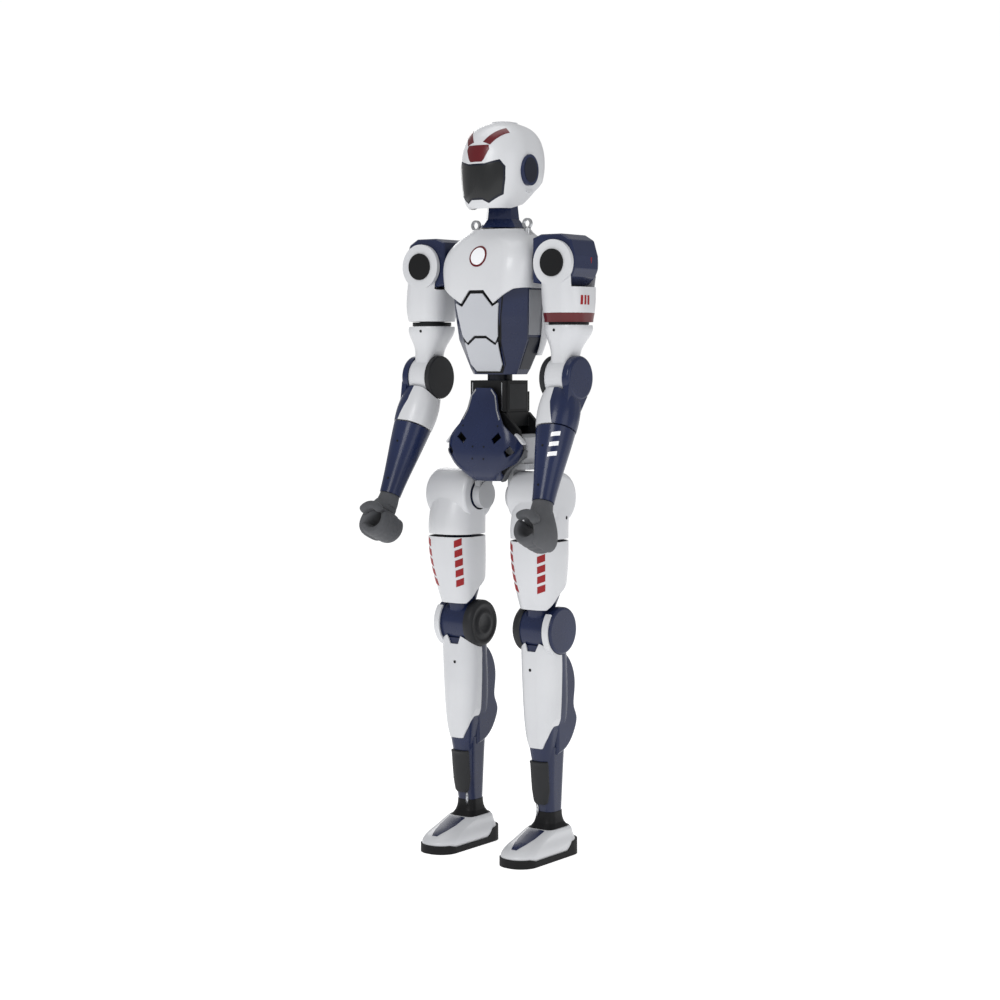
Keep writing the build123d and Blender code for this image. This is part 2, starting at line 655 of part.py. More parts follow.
# ---- shin ----
SHIN = [
    (226, 116, 27, 62, 80, 24),
    (262, 116, 26, 70, 93, 28),
    (330, 116, 26, 86, 106, 34),
    (400, 116, 24, 96, 110, 40),
    (460, 116, 20, 100, 104, 40),
    (520, 116, 18, 100, 98, 38),
]
SHIN_FRONT = [
    (-90, 560),
    (14, 560),
    (14, 510),
    (18, 464),
    (20, 394),
    (23, 318),
    (8, 296),
    (-8, 262),
    (-90, 262),
]
SHIN_HEM = [
    (66, 350),
    (66, 230),
    (166, 230),
    (166, 350),
    (156, 322),
    (145, 288),
    (134, 262),
    (98, 262),
    (87, 288),
    (76, 322),
]
KNEE_NOTCH = [(88, 530), (101, 489), (124, 489), (144, 530)]
PRONG_R = 61.0  # the arm of the shin shell that curls round the front of the outer knee disc
CALF_HALF_WIDTH = 37.0
CALF_BACK = [
    (20, 487),
    (56, 478),
    (80, 452),
    (93, 415),
    (91, 376),
    (90, 352),
    (101, 326),
    (93, 294),
    (72, 266),
    (20, 244),
]
ANKLE_COLUMN = [
    (106, 116, 37, 49, 54, 18),
    (150, 116, 34, 53, 62, 19),
    (200, 116, 32, 58, 69, 21),
    (262, 116, 31, 64, 76, 23),
]

with BuildPart() as knee_caps:
    add(cap_x(KNEE_CAP_R, KNEE[0] + 33, KNEE[0] + 54, KNEE[1], KNEE[2], 6))
    add(cap_x(KNEE_CAP_R, KNEE[0] - 33, KNEE[0] - 54, KNEE[1], KNEE[2], 6))
    add(drum_x(KNEE_PIN_R, KNEE[0] - 40, KNEE[0] + 40, KNEE[1], KNEE[2]))
save_pair(knee_caps.part, "knee_caps")

knee_clearance = drum_x(KNEE_DRUM_R + 3, 40, 200, KNEE[1], KNEE[2]) + knee_caps.part
shin_front_zone = prism_x(SHIN_FRONT, 0, 240)
prong_zone = prism_x([(18, 537), (-26, 579), (-60, 560), (-60, 480), (0, 470)], 150, 165)
prong = drum_x(PRONG_R, 150, 165, KNEE[1], KNEE[2]) & prong_zone

with BuildPart() as shin_shell:
    add(body_through(SHIN))
    add(body_through(SHIN, WALL), mode=Mode.SUBTRACT)
    add(shin_front_zone, mode=Mode.INTERSECT)
    add(prism_y(SHIN_HEM, -90, 90), mode=Mode.SUBTRACT)
    add(prism_y(KNEE_NOTCH, -90, 90), mode=Mode.SUBTRACT)
    add(prong)
    add(knee_clearance, mode=Mode.SUBTRACT)
save_pair(shin_shell.part, "shin_shell")

with BuildPart() as calf_muscles:
    with BuildSketch(Plane.YZ.offset(KNEE[0] - CALF_HALF_WIDTH)):
        with BuildLine():
            back = Spline(*CALF_BACK)
            Line(back @ 1, back @ 0)
        make_face()
    extrude(amount=2 * CALF_HALF_WIDTH)
    sides = calf_muscles.faces().filter_by(Axis.X)
    fillet(sides[0].edges() + sides[-1].edges(), 7)

with BuildPart() as calf_shell:
    add(body_through(SHIN, WALL + 0.6))
    add(calf_muscles.part)
    add(body_through(ANKLE_COLUMN))
    add(block(92, 99.5, 26, 52, 66, 130, 3))
    add(block(132.5, 140, 26, 52, 66, 130, 3))
    add(shin_front_zone & (body_through(SHIN) - body_through(SHIN, WALL + 0.5)), mode=Mode.SUBTRACT)
    add(prong, mode=Mode.SUBTRACT)
    add(knee_clearance, mode=Mode.SUBTRACT)
    add(drum_x(ANKLE_PIN_R + FIT, 80, 150, ANKLE[1], ANKLE[2]), mode=Mode.SUBTRACT)
save_pair(calf_shell.part, "calf_shell")

# ---- ankle and foot ----
FOOT = [
    (12, 116, -5, 86, 224, 40),
    (25, 116, -5, 92, 232, 44),
    (40, 116, 3, 88, 208, 42),
    (56, 116, 21, 83, 156, 38),
    (70, 116, 35, 78, 104, 34),
]
SOLE_THICKNESS = 12.0
SOLE_CENTRE = (116.0, -4.5)
SOLE_RIM = 7.0  # the sole's rim stands up round the toe and the heel
SOLE_PROFILE = [(-130, 0), (-130, 20), (-98, 20), (-76, 14), (48, 14), (66, 34), (120, 37), (120, 0)]

with BuildPart() as ankle_cross:
    add(block(101, 131, 24, 54, 64, 92, 3))
    add(drum_x(ANKLE_PIN_R, 92, 140, ANKLE[1], ANKLE[2]))
    add(drum_y(ANKLE_PIN_R, 16, 62, ANKLE[0], ANKLE[2]))
save_pair(ankle_cross.part, "ankle_cross")

with BuildPart() as sole:
    with BuildSketch():
        with Locations(SOLE_CENTRE):
            RectangleRounded(95, 240, 44)
    extrude(amount=60)
    with BuildSketch(Plane.XY.offset(SOLE_THICKNESS)):
        with Locations(SOLE_CENTRE):
            RectangleRounded(95 - 2 * SOLE_RIM, 240 - 2 * SOLE_RIM, 44 - SOLE_RIM)
    extrude(amount=60, mode=Mode.SUBTRACT)
    add(prism_x(SOLE_PROFILE, 60, 170), mode=Mode.INTERSECT)
save_pair(sole.part, "sole")

with BuildPart() as foot_shell:
    add(body_through(FOOT))
    add(block(82, 150, -6, 79, 34, 120, 12), mode=Mode.SUBTRACT)
    for y_from, y_to in ((12, 22), (56, 66)):
        add(block(106, 126, y_from, y_to, 34, 78))
        add(drum_y(10, y_from, y_to, ANKLE[0], ANKLE[2]))
        add(drum_y(ANKLE_PIN_R + FIT, y_from - 1, y_to + 1, ANKLE[0], ANKLE[2]), mode=Mode.SUBTRACT)
    add(sole.part, mode=Mode.SUBTRACT)
save_pair(foot_shell.part, "foot_shell")
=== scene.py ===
import math

import bmesh
import bpy
from mathutils import Matrix, Vector
from mathutils.bvhtree import BVHTree


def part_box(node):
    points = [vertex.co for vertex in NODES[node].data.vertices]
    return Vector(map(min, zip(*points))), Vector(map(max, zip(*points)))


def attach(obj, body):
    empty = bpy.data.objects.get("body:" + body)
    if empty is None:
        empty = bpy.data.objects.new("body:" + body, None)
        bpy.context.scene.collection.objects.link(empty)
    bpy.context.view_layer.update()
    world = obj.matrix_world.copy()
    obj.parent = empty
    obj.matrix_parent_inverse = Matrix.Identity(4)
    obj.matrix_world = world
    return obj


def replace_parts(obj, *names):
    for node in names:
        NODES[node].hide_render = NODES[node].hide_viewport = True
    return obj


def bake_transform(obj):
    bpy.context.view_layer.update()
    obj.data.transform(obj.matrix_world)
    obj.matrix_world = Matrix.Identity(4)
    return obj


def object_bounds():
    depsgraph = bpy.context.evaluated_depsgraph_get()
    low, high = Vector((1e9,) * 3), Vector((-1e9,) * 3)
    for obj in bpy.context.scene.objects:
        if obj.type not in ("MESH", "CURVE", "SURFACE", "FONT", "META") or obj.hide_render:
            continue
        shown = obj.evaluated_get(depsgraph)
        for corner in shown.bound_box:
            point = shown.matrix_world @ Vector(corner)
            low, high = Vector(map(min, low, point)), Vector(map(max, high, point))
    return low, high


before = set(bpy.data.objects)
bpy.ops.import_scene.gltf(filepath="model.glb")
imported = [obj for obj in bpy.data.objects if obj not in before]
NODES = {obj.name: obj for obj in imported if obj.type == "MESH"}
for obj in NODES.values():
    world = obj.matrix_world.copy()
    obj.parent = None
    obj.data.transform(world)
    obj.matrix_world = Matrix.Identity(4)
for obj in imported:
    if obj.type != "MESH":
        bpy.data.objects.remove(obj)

cad_low, cad_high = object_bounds()
SHIFT = 0.058  # the body plane lies this far behind the row's origin


# ---------------------------------------------------------------- camera
CAMERA_AZIMUTH = 36.5  # degrees round from the robot's front
CAMERA_DISTANCE = 4.8
CAMERA_HEIGHT = 1.17
AIM_HEIGHT = 0.834
SENSOR_WIDTH = 36.0
FOCAL_RATIO = 2.054  # focal length over sensor width


def add_camera():
    azimuth = math.radians(CAMERA_AZIMUTH)
    data = bpy.data.cameras.new("photo_camera")
    data.sensor_width = SENSOR_WIDTH
    data.lens = SENSOR_WIDTH * FOCAL_RATIO
    cam = bpy.data.objects.new("photo_camera", data)
    bpy.context.scene.collection.objects.link(cam)
    cam.location = (CAMERA_DISTANCE * math.sin(azimuth), SHIFT - CAMERA_DISTANCE * math.cos(azimuth), CAMERA_HEIGHT)
    target = Vector((0.0, SHIFT, AIM_HEIGHT))
    cam.rotation_euler = (target - cam.location).to_track_quat("-Z", "Y").to_euler()
    bpy.context.scene.camera = cam


add_camera()


# ---------------------------------------------------------------- materials
def surface(name, base, tint, rough, metallic=0.0, coat=0.0, spread=6.0, grain=900.0, bump=0.02, spots=0.04,
            rough_var=0.06, sheen=0.0, ior=1.5, brushed=False):
    """A procedural finish: a slow colour drift, small uneven gloss and a fine grain in the surface."""
    m = bpy.data.materials.new(name)
    m.use_nodes = True
    nt = m.node_tree
    nodes, links = nt.nodes, nt.links
    bsdf = nodes["Principled BSDF"]
    coord = nodes.new("ShaderNodeTexCoord")
    source = coord.outputs["Object"]
    if brushed:
        stretch = nodes.new("ShaderNodeMapping")
        stretch.inputs["Scale"].default_value = (1.0, 1.0, 18.0)
        links.new(source, stretch.inputs["Vector"])
        fine_source = stretch.outputs["Vector"]
    else:
        fine_source = source
    drift = nodes.new("ShaderNodeTexNoise")
    drift.inputs["Scale"].default_value = spread
    drift.inputs["Detail"].default_value = 5.0
    links.new(source, drift.inputs["Vector"])
    ramp = nodes.new("ShaderNodeValToRGB")
    ramp.color_ramp.elements[0].position = 0.32
    ramp.color_ramp.elements[1].position = 0.68
    ramp.color_ramp.elements[0].color = (*tint, 1.0)
    ramp.color_ramp.elements[1].color = (*base, 1.0)
    links.new(drift.outputs["Fac"], ramp.inputs["Fac"])
    speck = nodes.new("ShaderNodeTexNoise")
    speck.inputs["Scale"].default_value = grain * 0.35
    speck.inputs["Detail"].default_value = 3.0
    links.new(fine_source, speck.inputs["Vector"])
    mix = nodes.new("ShaderNodeMix")
    mix.data_type = "RGBA"
    mix.blend_type = "MULTIPLY"
    mix.inputs["Factor"].default_value = spots
    links.new(ramp.outputs["Color"], mix.inputs["A"])
    links.new(speck.outputs["Color"], mix.inputs["B"])
    links.new(mix.outputs["Result"], bsdf.inputs["Base Color"])
    gloss = nodes.new("ShaderNodeTexNoise")
    gloss.inputs["Scale"].default_value = spread * 4.5
    gloss.inputs["Detail"].default_value = 6.0
    links.new(source, gloss.inputs["Vector"])
    span = nodes.new("ShaderNodeMapRange")
    span.inputs["To Min"].default_value = max(rough - rough_var, 0.02)
    span.inputs["To Max"].default_value = rough + rough_var
    links.new(gloss.outputs["Fac"], span.inputs["Value"])
    links.new(span.outputs["Result"], bsdf.inputs["Roughness"])
    grains = nodes.new("ShaderNodeTexNoise")
    grains.inputs["Scale"].default_value = grain
    grains.inputs["Detail"].default_value = 2.0
    links.new(fine_source, grains.inputs["Vector"])
    lift = nodes.new("ShaderNodeBump")
    lift.inputs["Strength"].default_value = bump
    lift.inputs["Distance"].default_value = 0.0004
    links.new(grains.outputs["Fac"], lift.inputs["Height"])
    links.new(lift.outputs["Normal"], bsdf.inputs["Normal"])
    bsdf.inputs["Metallic"].default_value = metallic
    bsdf.inputs["Coat Weight"].default_value = coat
    bsdf.inputs["Coat Roughness"].default_value = 0.08
    bsdf.inputs["Sheen Weight"].default_value = sheen
    bsdf.inputs["IOR"].default_value = ior
    return m


PEARL = surface("pearl_white", (0.64, 0.65, 0.672), (0.59, 0.60, 0.625), 0.36, coat=0.2, bump=0.03, spots=0.03)
PANEL = surface("panel_grey", (0.50, 0.515, 0.55), (0.46, 0.475, 0.51), 0.42, coat=0.1, bump=0.05, spots=0.05)
# The flank grey is the panel grey darkened: a real grey panel with painted shade in its colour.
SHADED_FLANK_GREY = surface("flank_grey_painted_shade", (0.30, 0.31, 0.335), (0.24, 0.25, 0.27), 0.42, coat=0.1, ior=1.4, bump=0.05, spots=0.05)
NAVY = surface("navy_gloss", (0.014, 0.023, 0.072), (0.009, 0.015, 0.050), 0.28, coat=0.10, ior=1.38, bump=0.03,
               spots=0.10)
# A darker copy of the navy; where it lies on the lower flank it is painted shade.
DEEP = surface("navy_shadow", (0.006, 0.009, 0.022), (0.004, 0.006, 0.015), 0.36, coat=0.05, ior=1.35, bump=0.05,
               spots=0.10)
BLACK = surface("black_satin", (0.006, 0.007, 0.008), (0.004, 0.004, 0.005), 0.46, ior=1.3, bump=0.12, spots=0.15)
CHARCOAL = surface("charcoal_disc", (0.022, 0.023, 0.026), (0.015, 0.016, 0.018), 0.48, ior=1.33, bump=0.10,
                   spots=0.15)
RIM = surface("rim_grey", (0.105, 0.11, 0.12), (0.08, 0.083, 0.09), 0.45, ior=1.4, bump=0.10, spots=0.12)
RED = surface("dark_red", (0.13, 0.004, 0.009), (0.085, 0.003, 0.006), 0.30, coat=0.2, ior=1.4, bump=0.04, spots=0.10)
SIGNAL = surface("signal_red", (0.32, 0.010, 0.014), (0.26, 0.008, 0.010), 0.45, ior=1.35, bump=0.05, spots=0.08)
RUBBER = surface("hand_rubber", (0.098, 0.101, 0.110), (0.066, 0.069, 0.076), 0.72, ior=1.4, bump=0.35, grain=1400,
                 spots=0.2, spread=14, sheen=0.05)
SOLE = surface("sole_rubber", (0.007, 0.007, 0.008), (0.004, 0.004, 0.005), 0.66, ior=1.33, bump=0.4, grain=1100,
               spots=0.2)
# Real steel on the lifting eye, ankle cross and push rods; on the pelvis edge strips it is a painted highlight.
STEEL_AND_HIGHLIGHT = surface("machined_steel_and_painted_highlight", (0.52, 0.53, 0.55), (0.42, 0.43, 0.45), 0.30, metallic=1.0, brushed=True, bump=0.10)
CAST = surface("grey_casting", (0.50, 0.51, 0.53), (0.43, 0.44, 0.46), 0.42, metallic=0.05, bump=0.12, spots=0.10)
VISOR = surface("smoked_visor", (0.016, 0.017, 0.018), (0.011, 0.012, 0.013), 0.20, coat=0.25, ior=1.38, bump=0.01,
                spots=0.05, rough_var=0.03)
LIGHT = surface("lamp_white", (0.92, 0.93, 0.95), (0.86, 0.87, 0.90), 0.25, coat=0.6, bump=0.02, spots=0.02)

LOOK = {
    "torso_frame": DEEP, "chest_shell": PEARL, "abdomen_shell": NAVY, "abdomen_panels": PANEL, "back_cover": PEARL,
    "lifting_eye": STEEL_AND_HIGHLIGHT, "neck_column": NAVY, "helmet_shell": PEARL, "visor": DEEP, "ear_caps": NAVY,
    "shoulder_pod": NAVY, "upper_arm_shell": PEARL, "shoulder_roll_caps": BLACK, "elbow_housing": PEARL,
    "elbow_bracket": NAVY, "elbow_cap": CHARCOAL, "forearm_cuff": PEARL, "forearm_shell": NAVY,
    "wrist_joint": BLACK, "hand_palm": RUBBER, "hand_fingers": RUBBER, "hand_thumb": RUBBER,
    "pelvis_frame": BLACK, "pelvis_cover": NAVY, "waist_housing": BLACK, "hip_roll_link": CAST,
    "hip_yaw_link": CAST, "thigh_shell_upper": PEARL, "thigh_shell_lower": PEARL, "thigh_link": NAVY,
    "knee_caps": NAVY, "shin_shell": PEARL, "calf_shell": NAVY, "ankle_cross": STEEL_AND_HIGHLIGHT, "foot_shell": PEARL,
    "sole": SOLE,
}


def plain_name(node):
    """The node's name without its side."""
    for side in ("left_", "right_"):
        if node.startswith(side) and node[len(side):] in LOOK:
            return node[len(side):]
    return node


def dress(obj, material):
    obj.data.materials.clear()
    obj.data.materials.append(material)


SOFT_EDGE = {"chest_shell": 0.0016, "helmet_shell": 0.0016, "thigh_link": 0.003, "knee_caps": 0.002,
             "elbow_housing": 0.003, "shoulder_pod": 0.003, "upper_arm_shell": 0.002, "calf_shell": 0.003,
             "hip_yaw_link": 0.004, "hip_roll_link": 0.004, "waist_housing": 0.004, "sole": 0.004}

for name, node in NODES.items():
    dress(node, LOOK[plain_name(name)])
    weld = node.modifiers.new("weld", "WELD")
    weld.merge_threshold = 0.00004
    edge = node.modifiers.new("edge", "BEVEL")
    edge.width = SOFT_EDGE.get(plain_name(name), 0.0014)
    edge.segments = 3
    edge.limit_method = "ANGLE"
    edge.angle_limit = math.radians(38)
    edge.use_clamp_overlap = True
    even = node.modifiers.new("even", "WEIGHTED_NORMAL")
    even.keep_sharp = True

# ---------------------------------------------------------------- building blocks
def link(name, bm, material, body, smooth=True):
    """Turns a bmesh into an object that moves with a body."""
    bmesh.ops.remove_doubles(bm, verts=bm.verts, dist=1e-6)
    bmesh.ops.recalc_face_normals(bm, faces=bm.faces)
    mesh = bpy.data.meshes.new(name)
    bm.to_mesh(mesh)
    bm.free()
    for polygon in mesh.polygons:
        polygon.use_smooth = smooth
    obj = bpy.data.objects.new(name, mesh)
    bpy.context.scene.collection.objects.link(obj)
    dress(obj, material)
    if body:
        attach(obj, body)
    return obj


def round_edges(obj, width, segments=3, angle=40):
    edge = obj.modifiers.new("edge", "BEVEL")
    edge.width = width
    edge.segments = segments
    edge.limit_method = "ANGLE"
    edge.angle_limit = math.radians(angle)
    obj.modifiers.new("even", "WEIGHTED_NORMAL")
    return obj


TREES = {}


def tree(nodes):
    """A search tree over the faces of some CAD nodes, which never move at rest."""
    key = tuple(nodes)
    if key not in TREES:
        points, faces = [], []
        for n in nodes:
            base = len(points)
            mesh = NODES[n].data
            points.extend(v.co.copy() for v in mesh.vertices)
            faces.extend([base + i for i in p.vertices] for p in mesh.polygons)
        TREES[key] = BVHTree.FromPolygons(points, faces)
    return TREES[key]


def mm(x, y, z):
    """A point in body-plane millimetres, as metres in the frame."""
    return Vector((x / 1000, y / 1000 + SHIFT, z / 1000))


def flip(v, side):
    return Vector((v.x * side, v.y, v.z))


CAST_BACK = 0.25  # how far outside the surface a panel's rays start


def patch(name, outline, origin, u, v, nodes, material, body, thick=1.2, cell=5.0, sink=0.4, soft=0.4):
    """A thin panel laid on CAD faces: an outline in millimetres, cast along u x v reversed onto the nodes."""
    u, v = Vector(u).normalized(), Vector(v).normalized()
    ray = -u.cross(v).normalized()
    points = [Vector((p[0], p[1])) for p in outline]
    bm = bmesh.new()
    bm.faces.new([bm.verts.new((p.x, p.y, 0)) for p in points])
    for axis in (0, 1):
        lo = min(p[axis] for p in points)
        hi = max(p[axis] for p in points)
        steps = int((hi - lo) // cell)
        for i in range(1, steps + 1):
            at = lo + i * (hi - lo) / (steps + 1)
            co = Vector((at, 0, 0)) if axis == 0 else Vector((0, at, 0))
            no = Vector((1, 0, 0)) if axis == 0 else Vector((0, 1, 0))
            geom = bm.verts[:] + bm.edges[:] + bm.faces[:]
            bmesh.ops.bisect_plane(bm, geom=geom, plane_co=co, plane_no=no)
    finder = tree(nodes)
    missed = []
    for vert in bm.verts:
        start = origin + u * (vert.co.x / 1000) + v * (vert.co.y / 1000) - ray * CAST_BACK
        hit, _, _, _ = finder.ray_cast(start, ray)
        if hit is None:
            missed.append(vert)
            continue
        vert.co = hit + ray * (sink / 1000)
    bmesh.ops.delete(bm, geom=missed, context="VERTS")
    if ray.dot(bm.faces[:][0].normal) > 0:
        bmesh.ops.reverse_faces(bm, faces=bm.faces)
    mesh = bpy.data.meshes.new(name)
    bm.to_mesh(mesh)
    bm.free()
    for polygon in mesh.polygons:
        polygon.use_smooth = True
    obj = bpy.data.objects.new(name, mesh)
    bpy.context.scene.collection.objects.link(obj)
    dress(obj, material)
    shell = obj.modifiers.new("thick", "SOLIDIFY")
    shell.thickness = (thick + sink) / 1000
    shell.offset = 1.0
    round_edges(obj, soft / 1000, 2, 50)
    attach(obj, body)
    return obj


def disc_outline(radius, count=28, squash=1.0):
    return [(radius * math.cos(t), radius * squash * math.sin(t))
            for t in (2 * math.pi * i / count for i in range(count))]


def turned(name, profile, centre, axis, material, body, segments=48, spread=(1.0, 1.0)):
    """A turned piece: (radius, height) pairs in millimetres about an axis through a point."""
    rot = Vector((0, 0, 1)).rotation_difference(Vector(axis).normalized()).to_matrix()
    bm = bmesh.new()
    rings = []
    for radius, height in profile:
        ring = []
        for i in range(segments):
            t = 2 * math.pi * i / segments
            local = Vector((radius * spread[0] * math.cos(t), radius * spread[1] * math.sin(t), height)) / 1000
            ring.append(bm.verts.new(centre + rot @ local))
        rings.append(ring)
    for a, b in zip(rings, rings[1:]):
        for i in range(segments):
            j = (i + 1) % segments
            bm.faces.new((a[i], a[j], b[j], b[i]))
    for ring in (rings[0], rings[-1]):
        bm.faces.new(ring)
    return link(name, bm, material, body)


def screw(name, point, inward, nodes, body, radius=3.4):
    """A recessed screw head where a ray from the point meets a CAD face."""
    ray = Vector(inward).normalized()
    hit, normal, _, _ = tree(nodes).ray_cast(point - ray * 0.2, ray)
    if hit is None:
        return
    if normal.dot(ray) > 0:
        normal = -normal
    ring = [(radius, -1.0), (radius, 0.5), (radius * 0.93, 0.7), (radius * 0.74, 0.7), (radius * 0.68, 0.3),
            (radius * 0.2, 0.25), (0.02, 0.25)]
    turned(name, ring, hit, normal, BLACK, body, 24)


def swept(name, path, across, sizes, material, body, power=2.6, segments=20, level=1):
    """A closed soft tube along a path. Each size is (half width along the across axis, half thickness)."""
    bm = bmesh.new()
    rings = []
    across = Vector(across).normalized()
    for i, p in enumerate(path):
        ahead = path[min(i + 1, len(path) - 1)] - path[max(i - 1, 0)]
        ahead.normalize()
        side = (across - ahead * across.dot(ahead)).normalized()
        out = ahead.cross(side)
        ring = []
        for k in range(segments):
            t = 2 * math.pi * k / segments
            c, s = math.cos(t), math.sin(t)
            cx = math.copysign(abs(c) ** (2 / power), c) * sizes[i][0] / 1000
            sy = math.copysign(abs(s) ** (2 / power), s) * sizes[i][1] / 1000
            ring.append(bm.verts.new(p + side * cx + out * sy))
        rings.append(ring)
    for a, b in zip(rings, rings[1:]):
        for k in range(segments):
            j = (k + 1) % segments
            bm.faces.new((a[k], a[j], b[j], b[k]))
    for ring in (rings[0], rings[-1]):
        bm.faces.new(ring)
    obj = link(name, bm, material, body)
    if level:
        sub = obj.modifiers.new("smooth", "SUBSURF")
        sub.levels = level
        sub.render_levels = level
    return obj


ROUND_END = ((1.0, 0.35), (0.72, 0.74))  # how far out, and how small, from the tip inwards


def with_round_ends(path, sizes, reach=0.55):
    """Adds small rings at both ends so that a tube closes in a dome."""
    first = (path[0] - path[1]).normalized()
    last = (path[-1] - path[-2]).normalized()
    out_path, out_sizes = [], []
    for push, shrink in ROUND_END:
        out_path.append(path[0] + first * (sizes[0][1] * reach * push / 1000))
        out_sizes.append((sizes[0][0] * shrink, sizes[0][1] * shrink))
    out_path += path
    out_sizes += sizes
    for push, shrink in reversed(ROUND_END):
        out_path.append(path[-1] + last * (sizes[-1][1] * reach * push / 1000))
        out_sizes.append((sizes[-1][0] * shrink, sizes[-1][1] * shrink))
    return out_path, out_sizes


SIDES = (("left", 1), ("right", -1))
X, Y, Z = Vector((1, 0, 0)), Vector((0, 1, 0)), Vector((0, 0, 1))


def side_patch(name, outline, x, m, nodes, material, body, **finish):
    """A panel on a side face: an outline of (y, z) points in body-plane millimetres, cast from the side m."""
    points = [(y * m, z) for y, z in outline][::m]
    return patch(name, points, mm(m * x, 0, 0), Y * m, Z, nodes, material, body, **finish)


def front_patch(name, outline, m, nodes, material, body, **finish):
    """A panel on a front face: an outline of (x, z) points in millimetres, mirrored for the right side."""
    points = [(x * m, z) for x, z in outline][::m]
    return patch(name, points, mm(0, 0, 0), X, Z, nodes, material, body, **finish)


def rounded_ring(centre, width, depth, radius, per_corner=7):
    """The points of a level rounded rectangle about a centre in body-plane millimetres."""
    ring = []
    for quarter, (sx, sy) in enumerate(((1, 1), (-1, 1), (-1, -1), (1, -1))):
        for k in range(per_corner):
            t = math.pi / 2 * (quarter + k / (per_corner - 1))
            x = sx * (width / 2 - radius) + radius * math.cos(t)
            y = sy * (depth / 2 - radius) + radius * math.sin(t)
            ring.append(mm(centre[0] + x, centre[1] + y, centre[2]))
    return ring


def sleeve(name, stations, wall, material, body):
    """A hollow collar through level rounded rectangles, each (z, x, y, width, depth, corner radius)."""
    loops = [rounded_ring((x, y, z), w, d, r) for z, x, y, w, d, r in stations]
    loops += [rounded_ring((x, y, z), w - 2 * wall, d - 2 * wall, max(r - wall, 2)) for z, x, y, w, d, r in
              reversed(stations)]
    bm = bmesh.new()
    rings = [[bm.verts.new(p) for p in loop] for loop in loops]
    count = len(rings[0])
    for a, b in zip(rings, rings[1:] + rings[:1]):
        for k in range(count):
            j = (k + 1) % count
            bm.faces.new((a[k], a[j], b[j], b[k]))
    obj = link(name, bm, material, body)
    round_edges(obj, 0.0008, 2, 35)
    return obj


def plate(name, outline, m, y_front, y_back, material, body):
    """A flat plate: an outline of (x, z) points in millimetres, mirrored for the right side, from y to y."""
    bm = bmesh.new()
    front, back = ([bm.verts.new(mm(m * x, y, z)) for x, z in outline] for y in (y_front, y_back))
    bm.faces.new(front)
    bm.faces.new(back[::-1])
    for k in range(len(outline)):
        j = (k + 1) % len(outline)
        bm.faces.new((front[k], back[k], back[j], front[j]))
    bmesh.ops.recalc_face_normals(bm, faces=bm.faces)
    obj = link(name, bm, material, body)
    round_edges(obj, 0.0008, 2, 35)
    return obj


# ---------------------------------------------------------------- head
front_patch("visor_glass", [(-19, 1603.5), (19, 1603.5), (52, 1611.5), (59.5, 1599.5), (58.5, 1573), (54, 1540.5),
                            (28.5, 1523), (14, 1530.5), (-14, 1530.5), (-28.5, 1523), (-54, 1540.5), (-58.5, 1573),
                            (-59.5, 1599.5), (-52, 1611.5)], 1, ["visor"], VISOR, "head", thick=0.9, cell=6)
front_patch("brow_panel", [(-16, 1612), (16, 1612), (21, 1618), (31, 1640), (28, 1650), (-28, 1650), (-31, 1640),
                           (-21, 1618)], 1, ["helmet_shell"], RED, "head", thick=0.7, cell=4, soft=0.25)
for side, m in SIDES:
    stripe = [(13, -34), (31, -38), (57, 10), (45, 20)]
    patch(f"{side}_crown_stripe", [(m * x, v) for x, v in stripe][::m], mm(0, -52, 1676), X, (0, 0.66, 0.75),
          ["helmet_shell"], RED, "head", thick=0.7, cell=5, soft=0.25)
    side_patch(f"{side}_ear_disc", [(y, 1596 + z) for y, z in disc_outline(25, squash=1.16)], 60, m, ["ear_caps"],
               DEEP, "head", thick=0.8, cell=8, soft=0.5)


def crown(name, reach_x, reach_y, rings=10, spokes=64):
    """A smooth dome over the flat top of the helmet, which it meets at its rim."""
    finder = tree(["helmet_shell"])
    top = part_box("helmet_shell")[1][2]
    flat = []
    for k in range(81):
        y = SHIFT + (k - 20) / 1000
        hit = finder.ray_cast(Vector((0, y, top + 0.1)), -Z)[0]
        if hit is not None and hit.z > top - 0.0004:
            flat.append(y)
    middle = (min(flat) + max(flat)) / 2
    bm = bmesh.new()
    peak = bm.verts.new((0, middle, top + 0.0012))
    loops = []
    for i in range(1, rings + 1):
        r = i / rings
        loop = []
        for k in range(spokes):
            t = 2 * math.pi * k / spokes
            x, y = reach_x * math.cos(t), reach_y * math.sin(t)
            rim = finder.ray_cast(Vector((x, middle + y, top + 0.1)), -Z)[0].z - 0.0003
            here = finder.ray_cast(Vector((x * r, middle + y * r, top + 0.1)), -Z)[0].z
            dome = rim + (top + 0.0012 - rim) * (1 - r * r)
            z = rim if i == rings else max(dome, here + 0.0003)
            loop.append(bm.verts.new((x * r, middle + y * r, z)))
        loops.append(loop)
    for k in range(spokes):
        j = (k + 1) % spokes
        bm.faces.new((peak, loops[0][k], loops[0][j]))
        for a, b in zip(loops, loops[1:]):
            bm.faces.new((a[k], b[k], b[j], a[j]))
    return link(name, bm, PEARL, "head")


crown("crown_dome", 0.036, 0.042)

